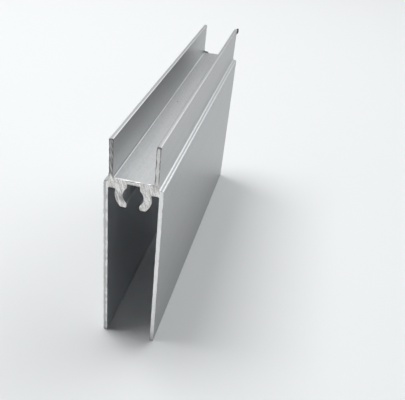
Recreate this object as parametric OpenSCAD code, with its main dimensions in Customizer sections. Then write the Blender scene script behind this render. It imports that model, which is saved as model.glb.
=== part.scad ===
// Aluminium extrusion profile: a short sawn piece of sash rail.
// Two long legs form a channel that is open at the bottom. A web closes it at
// the top, with a C-shaped screw port below and a narrower glazing pocket above.
// The section lies in XZ, centred on X, with the feet of the legs on Z = 0,
// and it runs along Y. All sizes are in millimetres.

/* [Stock] */
// Sawn length of the piece
cut_length = 86; // [20:1:400]
// Width over the outer faces of the two legs
body_w = 12.7; // [12.2:0.1:20]

/* [Channel] */
// Depth of the channel, from the feet to the underside of the shoulders
channel_d = 41; // [10:0.5:80]
// Wall of each leg
leg_t = 0.9; // [0.7:0.05:1.3]
// Thickness of the shoulder between a leg and the screw port
shoulder_t = 1.5; // [1.1:0.05:2.5]

/* [Pocket] */
// Clear width between the two lips
pocket_w = 8.7; // [6:0.1:9]
// Depth of the pocket, from the top of the lips to the web
pocket_d = 8.6; // [3:0.1:15]
// Wall of each lip
lip_t = 0.9; // [0.6:0.05:1.1]
// Height of the web's top above the ledges outside the lips
step_h = 0.9; // [0.5:0.05:1.5]

/* [Screw port] */
// Diameter of the screw port's bore
port_d = 4.5; // [3.6:0.1:5]
// Wall of the port around its bore
port_wall = 1.7; // [1.2:0.05:2]
// Width of the slot above and below the bore
slot_w = 2.8; // [1.6:0.1:3.2]
// Rise of the slot above the bore, up to the web
neck_rise = 0.5; // [0.2:0.05:1]
// Reach of the port's two arms below the bore
tip_reach = 0.65; // [0.3:0.05:0.8]
// Thickness of the web over the slot
web_t = 0.9; // [0.6:0.05:1.5]

/* [Edges] */
// Radius on the outer edge of each ledge
ledge_r = 0.4; // [0.1:0.05:0.5]
// Radius on the edges of the lips
lip_r = 0.25; // [0.1:0.05:0.4]
// Radius on the edges of the feet
foot_r = 0.25; // [0.1:0.05:0.4]
// Fillet at the foot of each lip, in the pocket
pocket_fillet_r = 0.25; // [0.1:0.05:0.4]
// Fillet at the foot of each lip, on the ledge
ledge_fillet_r = 0.45; // [0.1:0.05:0.5]
// Fillet in the corners under the shoulders
shoulder_fillet_r = 0.3; // [0.1:0.05:0.5]
// Radius on the tips of the port's arms
tip_r = 0.3; // [0.1:0.05:0.4]
// Radius on the edges where the slot leaves the bore
neck_r = 0.3; // [0.1:0.05:0.4]

/* [Hidden] */
// Levels, from the floor up
ledge_z = channel_d + shoulder_t;
web_z = ledge_z + step_h;
body_h = web_z + pocket_d;

// Faces, from the middle outwards
leg_out_x = body_w / 2;
leg_in_x = leg_out_x - leg_t;
lip_in_x = pocket_w / 2;
lip_out_x = lip_in_x + lip_t;
slot_x = slot_w / 2;

// Screw port
port_r = port_d / 2;
port_out_r = port_r + port_wall;
slot_top_z = web_z - web_t;
port_z = slot_top_z - neck_rise - port_r;
tip_z = port_z - port_r - tip_reach;

// How far a cut runs past the face it opens, and a fillet into its wall
lap = 0.2;
// Overlap that makes two arcs cross where they would only touch
nip = 0.0005;
$fn = 96;

// Axis of the screw port
port_axis = [0, port_z];

// The other leg of a right triangle
function leg_of(hypotenuse, leg) = sqrt(pow(hypotenuse, 2) - pow(leg, 2));

// The point at height z that lies at distance d from the port's axis
function beside_port(d, z) = [leg_of(d, z - port_z), z];

// A point at distance d from the port's axis, in the direction of point p
function from_port(p, d) = port_axis + (p - port_axis) * d / norm(p - port_axis);

// Repeats a shape on the other side of the middle plane
module both_sides() {
    children();
    mirror([1, 0]) children();
}

// What lies between a corner and the arc that rounds it: the arc is centred at c,
// a and b lie past its two ends, and k lies past the corner
module arc_corner(c, r, a, k, b) {
    difference() {
        polygon([c, a, k, b]);
        translate(c) circle(r);
    }
}

// The same for a square corner at point p, with the arc towards sx in X and sz in Z
module square_corner(p, r, sx, sz) {
    arc_corner(
        p + [sx * r, sz * r], r,
        p + [sx * r, -sz * lap],
        p + [-sx * lap, -sz * lap],
        p + [-sx * lap, sz * r]
    );
}

// Space above a ledge, beside a lip
module ledge_space() {
    difference() {
        translate([lip_out_x, ledge_z]) square([leg_out_x - lip_out_x + lap, body_h - ledge_z + lap]);
        square_corner([lip_out_x, ledge_z], ledge_fillet_r, 1, 1);
    }
}

// Space of the glazing pocket
module pocket_space() {
    difference() {
        translate([-lip_in_x, web_z]) square([pocket_w, pocket_d + lap]);
        both_sides() square_corner([lip_in_x, web_z], pocket_fillet_r, -1, 1);
    }
}

// Outside of the screw port's wall, cut off level at the tips of its arms
module port_outline() {
    c = beside_port(port_out_r - tip_r + nip, tip_z + tip_r);
    reach = port_out_r + lap;
    past = from_port(c, reach);
    difference() {
        translate(port_axis) circle(port_out_r);
        translate([-reach, tip_z - 2 * reach]) square(2 * reach);
        both_sides() arc_corner(c, tip_r, [c.x, tip_z - lap], [past.x, tip_z - lap], past);
    }
}

// Fillet between the port's wall and the shoulder
module port_fillet() {
    r = shoulder_fillet_r;
    c = beside_port(port_out_r + r - nip, channel_d - r);
    past = from_port(c, port_out_r - lap);
    arc_corner(c, r, [c.x, channel_d + lap], [past.x, channel_d + lap], past);
}

// Space of the channel between the legs, around the screw port
module channel_space() {
    difference() {
        translate([-leg_in_x, -lap]) square([2 * leg_in_x, channel_d + lap]);
        both_sides() square_corner([leg_in_x, channel_d], shoulder_fillet_r, -1, -1);
        port_outline();
        both_sides() port_fillet();
    }
}

// Rounds on the outer edges of one side
module edge_rounds() {
    square_corner([leg_out_x, ledge_z], ledge_r, -1, -1);
    square_corner([lip_out_x, body_h], lip_r, -1, -1);
    square_corner([lip_in_x, body_h], lip_r, 1, -1);
    square_corner([leg_out_x, 0], foot_r, -1, 1);
    square_corner([leg_in_x, 0], foot_r, 1, 1);
    square_corner([slot_x, tip_z], tip_r, 1, 1);
}

// Rounds on one side of the bore, where the slot leaves it above and below
module neck_rounds() {
    rise = leg_of(port_r + neck_r - nip, slot_x + neck_r);
    for (up = [-1, 1]) {
        c = port_axis + [slot_x + neck_r, up * rise];
        past = from_port(c, port_r - lap);
        arc_corner(c, neck_r, [slot_x - lap, c.y], [slot_x - lap, past.y], past);
    }
}

module section() {
    difference() {
        translate([-leg_out_x, 0]) square([body_w, body_h]);
        both_sides() ledge_space();
        pocket_space();
        channel_space();
        translate(port_axis) circle(port_r);
        translate([-slot_x, tip_z - lap]) square([slot_w, slot_top_z - tip_z + lap]);
        both_sides() edge_rounds();
        both_sides() neck_rounds();
    }
}

module rail_profile() {
    color("silver") rotate([90, 0, 0]) linear_extrude(height = cut_length, center = true) section();
}

rail_profile();
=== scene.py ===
import math
import bpy
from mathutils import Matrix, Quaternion, Vector


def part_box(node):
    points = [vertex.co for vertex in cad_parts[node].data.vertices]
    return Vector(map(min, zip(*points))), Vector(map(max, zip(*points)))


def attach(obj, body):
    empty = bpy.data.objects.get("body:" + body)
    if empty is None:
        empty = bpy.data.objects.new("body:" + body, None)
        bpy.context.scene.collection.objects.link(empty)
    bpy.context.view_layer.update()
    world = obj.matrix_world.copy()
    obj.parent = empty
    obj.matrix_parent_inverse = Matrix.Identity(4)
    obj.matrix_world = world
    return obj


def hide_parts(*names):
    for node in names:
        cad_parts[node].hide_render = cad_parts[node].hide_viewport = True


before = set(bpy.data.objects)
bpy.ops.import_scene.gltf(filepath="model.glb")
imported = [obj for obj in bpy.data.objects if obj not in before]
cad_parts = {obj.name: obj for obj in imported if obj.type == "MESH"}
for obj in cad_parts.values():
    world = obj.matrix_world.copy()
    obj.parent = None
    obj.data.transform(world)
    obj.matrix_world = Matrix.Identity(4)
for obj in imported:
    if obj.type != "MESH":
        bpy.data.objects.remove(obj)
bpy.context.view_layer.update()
mm = 0.001  # the rail is modelled in millimetres and scaled once at the end
railLow, railHigh = (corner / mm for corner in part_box("rail_profile"))
satinSlot, sawnSlot = 0, 1  # order of the rail's two finishes
print("frame loaded, rail box", railLow[:], railHigh[:])

# Section of the rail, in millimetres. Its width, height and length come from the rail_profile part of
# model.glb.
railSection = {
    "legWall": 0.9, "channelDeep": 41.0, "shoulder": 1.5,
    "pocketWide": 8.7, "lipWall": 0.9, "stepUp": 0.9,
    "portBore": 4.5, "portWall": 1.7, "slotWide": 2.8, "neckRise": 0.5, "tipReach": 0.65, "webWall": 0.9,
    "ledgeRound": 0.4, "lipRound": 0.25, "footRound": 0.25, "tipRound": 0.3, "neckRound": 0.3,
    "pocketFillet": 0.25, "ledgeFillet": 0.45, "shoulderFillet": 0.3,
    "arcStep": 6,  # degrees of turn in one facet of a round edge
    "penSize": 0.1,  # the plane that is merged to the tracing point
    "weld": 0.001,  # points closer than this are one
    "smoothBelow": 35,  # degrees between faces that are shaded as one
}


def besidePort(axis, distance, z):  # the point at height z that lies at this distance from the port's axis
    return Vector((math.sqrt(distance ** 2 - (z - axis.y) ** 2), z))


def alongRay(axis, point, distance):  # the point at this distance from the axis, towards another point
    return axis + (point - axis).normalized() * distance


def squareCorners(points):  # points are (x, z, radius); gives a line and an arc for each inner one
    moves = []
    for i in range(1, len(points) - 1):
        corner = Vector(points[i][:2])
        radius = points[i][2]
        back = (Vector(points[i - 1][:2]) - corner).normalized() * radius
        ahead = (Vector(points[i + 1][:2]) - corner).normalized() * radius
        moves.append((corner + back, None))
        moves.append((corner + ahead, corner + back + ahead))
    return moves


def halfOutline(sizes):  # right half of the section, from the top of the web round to the roof of the slot
    legOut = railHigh.x
    legIn = legOut - sizes["legWall"]
    lipIn = sizes["pocketWide"] / 2
    lipOut = lipIn + sizes["lipWall"]
    roof = sizes["channelDeep"]
    ledge = roof + sizes["shoulder"]
    web = ledge + sizes["stepUp"]
    boreR = sizes["portBore"] / 2
    ringR = boreR + sizes["portWall"]
    slotX = sizes["slotWide"] / 2
    slotTop = web - sizes["webWall"]
    axis = Vector((0, slotTop - sizes["neckRise"] - boreR))
    tip = axis.y - boreR - sizes["tipReach"]
    fillet, tipR, neckR = sizes["shoulderFillet"], sizes["tipRound"], sizes["neckRound"]
    rootC = besidePort(axis, ringR + fillet, roof - fillet)
    tipC = besidePort(axis, ringR - tipR, tip + tipR)
    innerTipC = Vector((slotX + tipR, tip + tipR))
    neckUp = math.sqrt((boreR + neckR) ** 2 - (slotX + neckR) ** 2)
    neckLowC = axis + Vector((slotX + neckR, -neckUp))
    neckHighC = axis + Vector((slotX + neckR, neckUp))
    moves = squareCorners([
        (0, web, 0),
        (lipIn, web, sizes["pocketFillet"]),
        (lipIn, railHigh.z, sizes["lipRound"]),
        (lipOut, railHigh.z, sizes["lipRound"]),
        (lipOut, ledge, sizes["ledgeFillet"]),
        (legOut, ledge, sizes["ledgeRound"]),
        (legOut, 0, sizes["footRound"]),
        (legIn, 0, sizes["footRound"]),
        (legIn, roof, fillet),
        (rootC.x, roof, 0),
    ])
    moves += [
        (Vector((rootC.x, roof)), None),
        (alongRay(axis, rootC, ringR), rootC),
        (alongRay(axis, tipC, ringR), axis),  # round the outside of the port
        (Vector((tipC.x, tip)), tipC),
        (Vector((innerTipC.x, tip)), None),
        (Vector((slotX, innerTipC.y)), innerTipC),
        (Vector((slotX, neckLowC.y)), None),
        (alongRay(axis, neckLowC, boreR), neckLowC),
        (alongRay(axis, neckHighC, boreR), axis),  # round the bore
        (Vector((slotX, neckHighC.y)), neckHighC),
        (Vector((slotX, slotTop)), None),
        (Vector((0, slotTop)), None),
    ]
    return Vector((0, web)), moves


def traceOutline(start, moves, sizes):  # a point pulled along the section, by extrude and by spin
    bpy.ops.object.select_all(action="DESELECT")
    bpy.ops.mesh.primitive_plane_add(size=sizes["penSize"], location=(start.x, railLow.y, start.y))
    piece = bpy.context.object
    bpy.ops.object.transform_apply(location=True)
    bpy.ops.object.mode_set(mode="EDIT")
    bpy.ops.mesh.select_mode(type="VERT")
    bpy.ops.mesh.merge(type="CENTER")
    pen = start
    for end, centre in moves:
        if centre is None:
            step = end - pen
            bpy.ops.mesh.extrude_region_move(TRANSFORM_OT_translate={"value": (step.x, 0, step.y)})
        else:
            turn = (end - centre).angle_signed(pen - centre)  # counter-clockwise in x and z
            steps = math.ceil(abs(math.degrees(turn)) / sizes["arcStep"])
            hub = (centre.x, railLow.y, centre.y)
            bpy.ops.mesh.spin(steps=steps, angle=turn, center=hub, axis=(0, 1, 0))
        pen = end
    return piece


# What the saw leaves on both ends, in millimetres and degrees
sawnEnds = {
    "markTilt": -74, "markPitch": 0.2, "crossPitch": 0.32,  # cuts across the end that carry the saw marks
    "cutWeld": 0.004,  # a cut this close to a point goes through it
    "loops": (0.14, 0.25, 0.6, 1.6),  # rings of edges behind each end
    "markSize": 1, "markStretch": (6, 1, 0.5), "markDeep": 0.04,
    "grainSize": 0.35, "roughDeep": 0.05,
    "jaggedSize": 0.45, "jagged": 0.17,
    "burrSize": 0.9, "burrDetail": 2, "burrLevel": 0.45, "burr": 0.18,
    "legFrom": 5.4, "legShare": 0.4,  # the thin legs are cut cleaner than the rest
}

# Corners of a place at a sawn edge, the way it is turned up, and its tone: 2 is dark, painted shade at a
# curled burr, 0 plain, and minus values paint a highlight on the burr, brightest at -2, with a painted
# shadow line under it on the end face
burrs = (
    {"from": (-4.1, -44, 43.2), "to": (1.3, -42.9, 43.9), "move": (0, -0.03, -0.01), "tone": -2},
    {"from": (-4.1, -42.9, 43.3), "to": (1.3, -42.8, 43.5), "move": (0, -0.02, 0.03), "tone": -0.8},
    {"from": (-4.1, -42.7, 43.3), "to": (4.1, -42.5, 43.5), "move": (0, 0, 0.02), "tone": 0},
    {"from": (1.3, -42.9, 43.3), "to": (4.1, -42.8, 43.5), "move": (0, 0, 0.02), "tone": -0.5},
    {"from": (4.2, -44, 51.6), "to": (5.6, -42.9, 52.4), "move": (0.16, -0.14, 0.1), "tone": 2},
    {"from": (5.3, -44, 32), "to": (5.6, -42.9, 32.9), "move": (0.1, 0.12, 0), "tone": 2},
    {"from": (5.3, -44, 23.6), "to": (5.6, -42.9, 24.4), "move": (0.08, 0.1, 0), "tone": 2},
    {"from": (5.3, -44, 18.9), "to": (5.6, -42.9, 19.4), "move": (-0.06, 0.06, 0), "tone": 2},
    {"from": (-5.6, -44, 26.4), "to": (-5.3, -42.9, 27.2), "move": (0.1, 0, 0), "tone": 1.5},
    {"from": (-6.5, -44, 33.5), "to": (-6.2, -42.9, 34.1), "move": (0.06, 0.08, 0), "tone": 2},
    {"from": (4.9, 42.9, 50.7), "to": (5.6, 44, 52.4), "move": (0.5, 0.12, 0.3), "tone": 2},
    {"from": (4.9, 42.8, 50.7), "to": (5.5, 42.9, 52.2), "move": (0.15, 0.05, 0.1), "tone": 2},
    {"from": (-4.6, 42.9, 43.2), "to": (-3.1, 44, 43.9), "move": (0.05, 0.05, 0.35), "tone": 2},
)


def fillSection(piece, weld):  # both halves, closed to one flat face
    bpy.ops.object.mode_set(mode="OBJECT")
    mirror = piece.modifiers.new("otherHalf", "MIRROR")
    mirror.merge_threshold = weld
    bpy.ops.object.modifier_apply(modifier=mirror.name)
    bpy.ops.object.mode_set(mode="EDIT")
    bpy.ops.mesh.select_all(action="SELECT")
    bpy.ops.mesh.remove_doubles(threshold=weld)
    bpy.ops.mesh.edge_face_add()


def cutLines(tilt, pitch, weld):  # parallel cuts across the flat section
    across = Vector((-math.sin(tilt), 0, math.cos(tilt)))
    middle = (railLow + railHigh) / 2
    reach = (railHigh - railLow).length / 2
    count = int(2 * reach / pitch)
    for i in range(count):
        bpy.ops.mesh.select_all(action="SELECT")
        place = middle + across * (i * pitch - reach)
        bpy.ops.mesh.bisect(plane_co=place, plane_no=across, threshold=weld)


def cleanCuts(weld):  # no slivers where a cut passes close by a point
    bpy.ops.mesh.select_all(action="SELECT")
    bpy.ops.mesh.remove_doubles(threshold=weld)
    bpy.ops.mesh.dissolve_degenerate(threshold=weld)


def drawLength(loops):  # the section is drawn out from the front end to the back end
    bpy.ops.mesh.select_all(action="SELECT")
    middle = railHigh.y - railLow.y - 2 * sum(loops)
    for step in (*loops, middle, *reversed(loops)):
        bpy.ops.mesh.extrude_region_move(TRANSFORM_OT_translate={"value": (0, step, 0)})
    bpy.ops.mesh.select_all(action="SELECT")
    bpy.ops.mesh.normals_make_consistent(inside=False)
    bpy.ops.object.mode_set(mode="OBJECT")


def markEnds(mesh):  # the flat ends get the sawn finish, everything else the satin one
    for face in mesh.polygons:
        lengthwise = abs(face.normal.y) > abs(face.normal.x) + abs(face.normal.z)
        face.material_index = sawnSlot if lengthwise else satinSlot


def sidePoints(mesh):  # points of the satin faces, those on the sawn edges among them
    return {i for face in mesh.polygons if face.material_index == satinSlot for i in face.vertices}


def cloudTexture(name, size, depth=1, colour=False):
    texture = bpy.data.textures.new(name, "CLOUDS")
    texture.noise_scale = size
    texture.noise_depth = depth
    texture.cloud_type = "COLOR" if colour else "GRAYSCALE"
    return texture


def pushOut(piece, texture, group, direction, strength, level=0.5, space=None):
    push = piece.modifiers.new(texture.name, "DISPLACE")
    push.texture = texture
    push.vertex_group = group
    push.direction = direction
    push.strength = strength
    push.mid_level = level
    push.texture_coords = "OBJECT" if space else "LOCAL"
    push.texture_coords_object = space
    bpy.ops.object.modifier_apply(modifier=push.name)


def groupEnds(piece, ends):  # a group for the face and one for the edge of each end, weaker on the legs
    mesh = piece.data
    side = sidePoints(mesh)
    thin = [point.index for point in mesh.vertices if abs(point.co.x) > ends["legFrom"]]
    legs = {i for i in thin if mesh.vertices[i].co.z < railSection["channelDeep"]}
    edges = []
    for name, y in (("front", railLow.y), ("back", railHigh.y)):
        cap = [point.index for point in mesh.vertices if abs(point.co.y - y) < railSection["weld"]]
        edge = [i for i in cap if i in side]
        edges += edge
        for part, points in (("End", cap), ("Rim", edge)):
            group = piece.vertex_groups.new(name=name + part)
            group.add(points, 1, "REPLACE")
            group.add([i for i in points if i in legs], ends["legShare"], "REPLACE")
    rim = mesh.attributes.new("rim", "FLOAT", "POINT")  # 1 along the sawn edges, where the finishes paint shade and highlight
    for i in edges:
        rim.data[i].value = 1


def roughenEnds(piece, ends):  # saw marks, rough grain, jagged edges and burrs on both ends
    groupEnds(piece, ends)
    bpy.ops.object.empty_add()
    saw = bpy.context.object  # turns and stretches the saw marks
    saw.rotation_euler = (0, -math.radians(ends["markTilt"]), 0)
    saw.scale = ends["markStretch"]
    bpy.context.view_layer.update()
    bpy.context.view_layer.objects.active = piece
    marks = cloudTexture("sawMarks", ends["markSize"])
    rough = cloudTexture("sawnGrain", ends["grainSize"])
    jagged = cloudTexture("jaggedEdge", ends["jaggedSize"], colour=True)
    burr = cloudTexture("burr", ends["burrSize"], depth=ends["burrDetail"])
    for name, out in (("front", -1), ("back", 1)):
        pushOut(piece, marks, name + "End", "Y", ends["markDeep"], space=saw)
        pushOut(piece, rough, name + "End", "Y", ends["roughDeep"])
        pushOut(piece, jagged, name + "Rim", "RGB_TO_XYZ", ends["jagged"])
        pushOut(piece, burr, name + "Rim", "Y", out * ends["burr"], level=ends["burrLevel"])
    bpy.data.objects.remove(saw)


def turnUpBurrs(piece):
    mesh = piece.data
    side = sidePoints(mesh)
    for burr in burrs:
        bpy.ops.object.mode_set(mode="EDIT")
        bpy.ops.mesh.select_all(action="DESELECT")
        bpy.ops.object.mode_set(mode="OBJECT")
        for i in side:
            point = mesh.vertices[i]
            point.select = all(a < c < b for a, c, b in zip(burr["from"], point.co, burr["to"]))
            if point.select:
                mesh.attributes["rim"].data[i].value = burr["tone"]
        bpy.ops.object.mode_set(mode="EDIT")
        bpy.ops.transform.translate(value=burr["move"])
        bpy.ops.object.mode_set(mode="OBJECT")


def shadeRail(piece):  # brought to metres, with flat sides and smooth rounds
    bpy.ops.object.mode_set(mode="EDIT")
    bpy.ops.mesh.select_all(action="SELECT")
    bpy.ops.transform.resize(value=(mm, mm, mm), center_override=(0, 0, 0))
    bpy.ops.object.mode_set(mode="OBJECT")
    bpy.ops.object.select_all(action="DESELECT")
    piece.select_set(True)
    bpy.ops.object.shade_smooth_by_angle(angle=math.radians(railSection["smoothBelow"]))
    flat = piece.modifiers.new("flatSides", "WEIGHTED_NORMAL")
    flat.keep_sharp = True
    bpy.ops.object.modifier_apply(modifier=flat.name)


def makeRail():
    start, moves = halfOutline(railSection)
    piece = traceOutline(start, moves, railSection)
    piece.name = piece.data.name = "sawn_rail"
    fillSection(piece, railSection["weld"])
    tilt = math.radians(sawnEnds["markTilt"])
    cutLines(tilt, sawnEnds["markPitch"], sawnEnds["cutWeld"])
    cutLines(tilt + math.pi / 2, sawnEnds["crossPitch"], sawnEnds["cutWeld"])
    cleanCuts(sawnEnds["cutWeld"])
    drawLength(sawnEnds["loops"])
    markEnds(piece.data)
    roughenEnds(piece, sawnEnds)
    turnUpBurrs(piece)
    shadeRail(piece)
    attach(piece, "root")
    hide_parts("rail_profile")
    print("rail made:", len(piece.data.vertices), "points,", len(piece.data.polygons), "faces")
    return piece


rail = makeRail()


def newMaterial(name):
    material = bpy.data.materials.new(name)
    material.use_nodes = True
    return material, material.node_tree, material.node_tree.nodes["Principled BSDF"]


def addNode(tree, kind, **settings):
    node = tree.nodes.new("ShaderNode" + kind)
    for name, value in settings.items():
        setattr(node, name, value)
    return node


def mathNode(tree, operation, first, second=0):  # either may be a socket or a number
    node = addNode(tree, "Math", operation=operation)
    for socket, value in zip(node.inputs, (first, second)):
        if isinstance(value, (int, float)):
            socket.default_value = value
        else:
            tree.links.new(value, socket)
    return node.outputs[0]


def times(tree, first, second):
    return mathNode(tree, "MULTIPLY", first, second)


def railPlace(tree):  # place on the rail, and its two parts across the section
    place = addNode(tree, "TexCoord").outputs["Object"]
    split = addNode(tree, "SeparateXYZ")
    tree.links.new(place, split.inputs[0])
    return place, split.outputs["X"], split.outputs["Z"]


def distanceTo(tree, place, point):
    node = addNode(tree, "VectorMath", operation="DISTANCE")
    node.inputs[1].default_value = point
    tree.links.new(place, node.inputs[0])
    return node.outputs["Value"]


def noiseNode(tree, place, size, turn=0, detail=2):  # size of the pattern in metres along x, y and z
    mapping = addNode(tree, "Mapping", vector_type="TEXTURE")
    mapping.inputs["Rotation"].default_value = (0, turn, 0)
    mapping.inputs["Scale"].default_value = size
    tree.links.new(place, mapping.inputs["Vector"])
    noise = addNode(tree, "TexNoise")
    noise.inputs["Scale"].default_value = 1
    noise.inputs["Detail"].default_value = detail
    tree.links.new(mapping.outputs[0], noise.inputs["Vector"])
    return noise.outputs[0]


def mixPatterns(tree, first, second, share):  # this share of the first, the rest of the second
    return mathNode(tree, "ADD", times(tree, first, share), times(tree, second, 1 - share))


def spread(tree, value, pair):  # the pair is a reach of values, and what its two ends become
    node = addNode(tree, "MapRange")
    tree.links.new(value, node.inputs["Value"])
    reach, ends = pair
    for name, number in zip(("From Min", "From Max", "To Min", "To Max"), (*reach, *ends)):
        node.inputs[name].default_value = number
    return node.outputs[0]


def blend(tree, amount, first, second):  # either colour may be a socket
    node = addNode(tree, "Mix", data_type="RGBA")
    tree.links.new(amount, node.inputs["Factor"])
    for socket, value in zip(node.inputs[6:8], (first, second)):  # the sockets for colours
        if isinstance(value, tuple):
            socket.default_value = (*value, 1)
        else:
            tree.links.new(value, socket)
    return node.outputs[2]


def addBump(tree, shader, height, distance, strength):
    bump = addNode(tree, "Bump")
    bump.inputs["Strength"].default_value = strength
    bump.inputs["Distance"].default_value = distance
    tree.links.new(height, bump.inputs["Height"])
    tree.links.new(bump.outputs[0], shader.inputs["Normal"])


# Mill finish of the sides, in metres, where a pair is a reach of values and what its ends become
satin = {
    "light": (0.635, 0.643, 0.647), "dark": (0.55, 0.558, 0.562), "contrast": ((0.36, 0.64), (0, 1)),
    "dieLines": (0.00015, 0.06, 0.00015), "lineDetail": 3,
    "grain": (0.0004, 0.0008, 0.0004), "lineShare": 0.5,
    "rough": ((0.3, 0.7), (0.34, 0.38)), "grazing": (0.68, 0.68, 0.68, 1),
    "innerPaintedLight": (0.84, 0.855, 0.875), "innerRough": 0.45,  # paler inside the channel, painted light that lifts its shade, and duller there
    "innerWide": ((0.0055, 0.0057), (1, 0)), "innerTop": ((0.0422, 0.0424), (1, 0)),
    "portWide": ((0.0026, 0.0028), (1, 0)), "portRough": 0.56,  # duller still inside the port
    "speck": (-0.00217, 0, 0.0434), "speckSize": ((0.000132, 0.00022), (1, 0)),
    # dark tone of the speck, which is dirt, and painted shade at the dark burrs
    "speckAndBurrShade": (0.08, 0.08, 0.08), "burrShadeRim": ((1.1, 1.6), (0, 1)),
    # bright tone: painted highlight on the burr along the web's front edge
    "burr": (0.97, 0.97, 0.97), "paintedBurrHighlight": ((-0.3, -1), (0, 1)),
}


def satinMetal(finish):
    material, tree, shader = newMaterial("satinAluminium")
    place, x, z = railPlace(tree)
    across = mathNode(tree, "ABSOLUTE", x)
    lines = noiseNode(tree, place, finish["dieLines"], detail=finish["lineDetail"])
    grain = noiseNode(tree, place, finish["grain"])
    mixed = mixPatterns(tree, lines, grain, finish["lineShare"])
    inside = times(tree, spread(tree, across, finish["innerWide"]), spread(tree, z, finish["innerTop"]))
    inPort = times(tree, inside, spread(tree, across, finish["portWide"]))
    speck = spread(tree, distanceTo(tree, place, finish["speck"]), finish["speckSize"])
    rim = addNode(tree, "Attribute", attribute_name="rim").outputs["Fac"]
    tone = blend(tree, spread(tree, mixed, finish["contrast"]), finish["dark"], finish["light"])
    # painted light: the inside of the channel is made paler to lift its shade
    tone = blend(tree, inside, tone, finish["innerPaintedLight"])
    tone = blend(tree, speck, tone, finish["speckAndBurrShade"])
    # painted shade at the dark burrs
    tone = blend(tree, spread(tree, rim, finish["burrShadeRim"]), tone, finish["speckAndBurrShade"])
    # painted highlight on the burr at the web
    tone = blend(tree, spread(tree, rim, finish["paintedBurrHighlight"]), tone, finish["burr"])
    tree.links.new(tone, shader.inputs["Base Color"])
    rough = spread(tree, mixed, finish["rough"])
    rough = mathNode(tree, "MAXIMUM", rough, times(tree, inside, finish["innerRough"]))
    rough = mathNode(tree, "MAXIMUM", rough, times(tree, inPort, finish["portRough"]))
    tree.links.new(rough, shader.inputs["Roughness"])
    shader.inputs["Metallic"].default_value = 1
    shader.inputs["Specular Tint"].default_value = finish["grazing"]
    return material


# Sawn metal of both ends, in metres, with pairs as above
sawn = {
    "light": (0.97, 0.96, 0.945), "dark": (0.56, 0.545, 0.525), "contrast": ((0.4, 0.58), (0, 1)),
    "marks": (0.0026, 0.001, 0.00034), "grain": 0.00022, "markShare": 0.6,
    "rough": ((0.3, 0.7), (0.42, 0.6)), "bumpDeep": 0.00004, "bumpShare": 0.6,
    "patch": 0.0014, "patchDetail": 1, "wave": ((0.3, 0.7), (-0.0001, 0.0001)),  # wanders along the edges
    "legLight": (0.99, 0.99, 0.99), "legDark": (0.87, 0.87, 0.865), "legContrast": ((0.35, 0.65), (0, 1)),
    "legMarks": (0.0004, 0.001, 0.003), "legFrom": ((0.0053, 0.0056), (0, 1)),
    # grey of smears on an arm, the left leg and the lips, also painted shade darkening the feet near the
    # floor
    "smearAndShadeGrey": (0.25, 0.25, 0.25), "feet": ((0, 0.0035), (0.45, 0)),
    "greyLeg": ((-0.00588, -0.00568), (0.45, 0)), "greyWave": 1.5,  # outer part of the left leg
    "shadedArm": (-0.0033, -0.043, 0.0393),  # the port's left arm at the front end
    "armReach": ((0.001, 0.0026), (1, 0)), "armStreaks": ((0.4, 0.6), (0.6, 0)),
    "lipFrom": ((0.0433, 0.0445), (0, 1)), "lipStreaks": ((0.4, 0.6), (1, 0.6)),
    "paleLip": (0.74, 0.74, 0.73), "paleFrom": ((-0.001, 0.001), (0, 1)),  # the right lip is paler
    # dark edge tone: painted shade along the sawn edges, at the dark burrs and in a line under the bright
    # burr; also the darker top of the lips
    "edge": (0.13, 0.13, 0.13), "rim": ((0.1, 1.2), (0, 0.9)), "rimPatches": ((0.42, 0.58), (1, 0.15)),
    "lipMiddle": 0.0048, "lipEdgeShade": ((0.00024, 0.00034), (0, 0.8)),
    "lipTop": ((0.0515, 0.0518), (0, 0.8)),
    # painted shadow line under the turned-up burr at the web
    "shadowUnderBurr": ((-0.02, -0.2), (0, 0.95)), "underFrom": ((-0.002, -0.0016), (0, 1)),
    # bright burr tone: painted highlight on the burr along the web's front edge
    "burr": (1, 0.995, 0.99), "burrHighlightRim": ((-1.1, -1.5), (0, 1)),
}


def sawnPatterns(tree, finish):  # what the tones of the ends are mixed by
    place, x, z = railPlace(tree)
    slanted = noiseNode(tree, place, finish["marks"], turn=-math.radians(sawnEnds["markTilt"]))
    upright = noiseNode(tree, place, finish["legMarks"])
    grain = noiseNode(tree, place, (finish["grain"],) * 3)
    patches = noiseNode(tree, place, (finish["patch"],) * 3, detail=finish["patchDetail"])
    return {
        "x": x, "z": z, "across": mathNode(tree, "ABSOLUTE", x),
        "slanted": slanted, "grain": grain, "patches": patches,
        "marks": mixPatterns(tree, slanted, grain, finish["markShare"]),
        "legMarks": mixPatterns(tree, upright, grain, finish["markShare"]),
        "wave": spread(tree, patches, finish["wave"]),
        "lips": spread(tree, z, finish["lipFrom"]),
        "toArm": distanceTo(tree, place, finish["shadedArm"]),
        "rim": addNode(tree, "Attribute", attribute_name="rim").outputs["Fac"],
    }


def streakTone(tree, finish, on):  # slanted marks on the body, upright ones on the legs
    tone = blend(tree, spread(tree, on["marks"], finish["contrast"]), finish["dark"], finish["light"])
    legAmount = spread(tree, on["legMarks"], finish["legContrast"])
    legTone = blend(tree, legAmount, finish["legDark"], finish["legLight"])
    return blend(tree, spread(tree, on["across"], finish["legFrom"]), tone, legTone)


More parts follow.
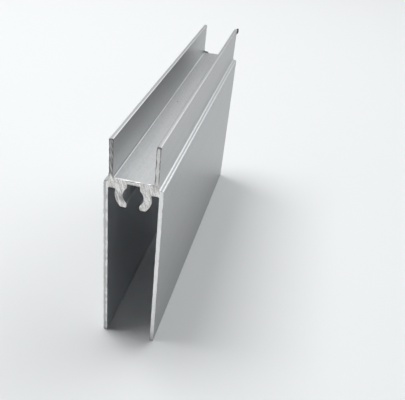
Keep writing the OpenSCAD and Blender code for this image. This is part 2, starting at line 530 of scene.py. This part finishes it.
def smearAndFootShade(tree, finish, on, tone):  # grey on an arm, the left leg and the lips, and painted shade darkening the feet
    armStreaks = spread(tree, on["slanted"], finish["armStreaks"])
    armShade = times(tree, spread(tree, on["toArm"], finish["armReach"]), armStreaks)
    tone = blend(tree, armShade, tone, finish["smearAndShadeGrey"])
    wavyX = mathNode(tree, "ADD", on["x"], times(tree, on["wave"], finish["greyWave"]))
    tone = blend(tree, spread(tree, wavyX, finish["greyLeg"]), tone, finish["smearAndShadeGrey"])
    # painted shade: the feet darken towards the floor
    tone = blend(tree, spread(tree, on["z"], finish["feet"]), tone, finish["smearAndShadeGrey"])
    lipTone = blend(tree, spread(tree, on["x"], finish["paleFrom"]), finish["smearAndShadeGrey"], finish["paleLip"])
    lipAmount = times(tree, on["lips"], spread(tree, on["slanted"], finish["lipStreaks"]))
    return blend(tree, lipAmount, tone, lipTone)


def edgeShadeAndHighlight(tree, finish, on, tone):  # painted shade as dark outlines along the sawn edges and as a shadow line under the burr, a darker top on the lips, and a painted highlight on the burr at the web
    fromMiddle = mathNode(tree, "ABSOLUTE", mathNode(tree, "SUBTRACT", on["across"], finish["lipMiddle"]))
    # painted shade outlining the lip ends
    lipShade = spread(tree, mathNode(tree, "ADD", fromMiddle, on["wave"]), finish["lipEdgeShade"])
    tone = blend(tree, times(tree, on["lips"], lipShade), tone, finish["edge"])
    tone = blend(tree, spread(tree, on["z"], finish["lipTop"]), tone, finish["edge"])
    patchy = spread(tree, on["patches"], finish["rimPatches"])
    # painted shade, patchy, along the sawn edges and at the dark burrs
    tone = blend(tree, times(tree, spread(tree, on["rim"], finish["rim"]), patchy), tone, finish["edge"])
    # painted shadow under the bright burr
    burrShadow = spread(tree, on["rim"], finish["shadowUnderBurr"])
    burrShadow = times(tree, burrShadow, spread(tree, on["x"], finish["underFrom"]))
    tone = blend(tree, burrShadow, tone, finish["edge"])
    # painted highlight on the burr at the web
    return blend(tree, spread(tree, on["rim"], finish["burrHighlightRim"]), tone, finish["burr"])


def sawnMetal(finish):
    material, tree, shader = newMaterial("sawnAluminium")
    on = sawnPatterns(tree, finish)
    tone = streakTone(tree, finish, on)
    tone = smearAndFootShade(tree, finish, on, tone)
    tone = edgeShadeAndHighlight(tree, finish, on, tone)
    tree.links.new(tone, shader.inputs["Base Color"])
    tree.links.new(spread(tree, on["grain"], finish["rough"]), shader.inputs["Roughness"])
    shader.inputs["Metallic"].default_value = 1
    addBump(tree, shader, on["marks"], finish["bumpDeep"], finish["bumpShare"])
    return material


rail.data.materials.append(satinMetal(satin))
rail.data.materials.append(sawnMetal(sawn))
print("rail finished:", [material.name for material in rail.data.materials])

photoCamera = {
    "place": (28.39, -134.53, 100.77),  # millimetres
    "heading": -11.47, "down": 35.13, "roll": 5.40,  # degrees
    "lens": 49.5, "sensor": 36, "shift": (0.0605, 0.0642),
    "nearest": 0.01,  # metres
}


def addCamera(view):
    data = bpy.data.cameras.new("photoCamera")
    data.sensor_width = view["sensor"]
    data.lens = view["lens"]
    data.shift_x, data.shift_y = view["shift"]
    data.clip_start = view["nearest"]
    camera = bpy.data.objects.new("photoCamera", data)
    bpy.context.scene.collection.objects.link(camera)
    heading, down, roll = (math.radians(view[turn]) for turn in ("heading", "down", "roll"))
    look = Vector((math.sin(heading) * math.cos(down), math.cos(heading) * math.cos(down), -math.sin(down)))
    camera.location = Vector(view["place"]) * mm
    camera.rotation_mode = "QUATERNION"
    camera.rotation_quaternion = look.to_track_quat("-Z", "Y") @ Quaternion((0, 0, 1), roll)
    bpy.context.scene.camera = camera


# Places in metres, powers in watts
studio = {
    "floorReach": 0.9, "floorSides": 96, "floorColour": (0.87, 0.885, 0.89, 1),
    "floorRough": 0.85, "floorSheen": 0.2,
    "aim": (0, 0, 0.02),  # what the softboxes point at
    "softboxes": (
        {"name": "keySoftbox", "place": (-0.38, 0.06, 0.88), "size": 0.5, "power": 5.5},
        {"name": "backSoftbox", "place": (0, 0.4, 0.55), "size": 0.6, "power": 0.72},
        {"name": "sideSoftbox", "place": (0.5, 0.2, 0.6), "size": 0.6, "power": 0.55},
        {"name": "frontSoftbox", "place": (-0.55, -0.35, 0.6), "size": 0.5, "power": 0.33},
    ),
    "roomTint": (0.97, 0.99, 1, 1), "roomLevel": 0.05,
    "walls": 0.53, "wallsLow": 6,  # pale walls, brightest at the horizon
    "glows": (  # direction and strength of the wide soft panels around the rail
        ((0.5, 0.75, 0.6), 2.35),
        ((-0.5, 0.75, 0.6), 0.38),
        ((-0.65, 0.75, 0.15), 0.38),
    ),
    "glowTight": 10,
    "backdrop": 0.9,  # the room behind the rail never looks brighter than this
}


def addFloor(setup):
    bpy.ops.object.select_all(action="DESELECT")
    bpy.ops.mesh.primitive_circle_add(
        vertices=setup["floorSides"], radius=setup["floorReach"], fill_type="NGON")
    floor = bpy.context.object
    floor.name = "floor"
    material, tree, shader = newMaterial("palePaper")
    shader.inputs["Base Color"].default_value = setup["floorColour"]
    shader.inputs["Roughness"].default_value = setup["floorRough"]
    shader.inputs["Specular IOR Level"].default_value = setup["floorSheen"]
    floor.data.materials.append(material)


def addSoftbox(box, aim):
    data = bpy.data.lights.new(box["name"], "AREA")
    data.size = box["size"]
    data.energy = box["power"]
    light = bpy.data.objects.new(box["name"], data)
    light.location = box["place"]
    light.rotation_mode = "QUATERNION"
    light.rotation_quaternion = (Vector(aim) - Vector(box["place"])).to_track_quat("-Z", "Y")
    bpy.context.scene.collection.objects.link(light)


def addRoom(setup):
    world = bpy.data.worlds.new("studioRoom")
    bpy.context.scene.world = world
    world.use_nodes = True
    tree = world.node_tree
    background = tree.nodes["Background"]
    toward = addNode(tree, "TexCoord").outputs["Generated"]
    split = addNode(tree, "SeparateXYZ")
    tree.links.new(toward, split.inputs[0])
    fromTop = mathNode(tree, "SUBTRACT", 1, mathNode(tree, "MAXIMUM", split.outputs["Z"], 0))
    walls = mathNode(tree, "POWER", fromTop, setup["wallsLow"])
    level = mathNode(tree, "ADD", times(tree, walls, setup["walls"]), setup["roomLevel"])
    for direction, strength in setup["glows"]:
        facing = addNode(tree, "VectorMath", operation="DOT_PRODUCT")
        facing.inputs[1].default_value = Vector(direction).normalized()
        tree.links.new(toward, facing.inputs[0])
        ahead = mathNode(tree, "MAXIMUM", facing.outputs["Value"], 0)
        glow = mathNode(tree, "POWER", ahead, setup["glowTight"])
        level = mathNode(tree, "ADD", times(tree, glow, strength), level)
    glare = mathNode(tree, "MAXIMUM", mathNode(tree, "SUBTRACT", level, setup["backdrop"]), 0)
    seen = times(tree, glare, addNode(tree, "LightPath").outputs["Is Camera Ray"])
    tree.links.new(mathNode(tree, "SUBTRACT", level, seen), background.inputs["Strength"])
    background.inputs["Color"].default_value = setup["roomTint"]


addCamera(photoCamera)
addFloor(studio)
for softbox in studio["softboxes"]:
    addSoftbox(softbox, studio["aim"])
addRoom(studio)
bpy.context.scene.view_settings.view_transform = "Standard"
print("studio set")
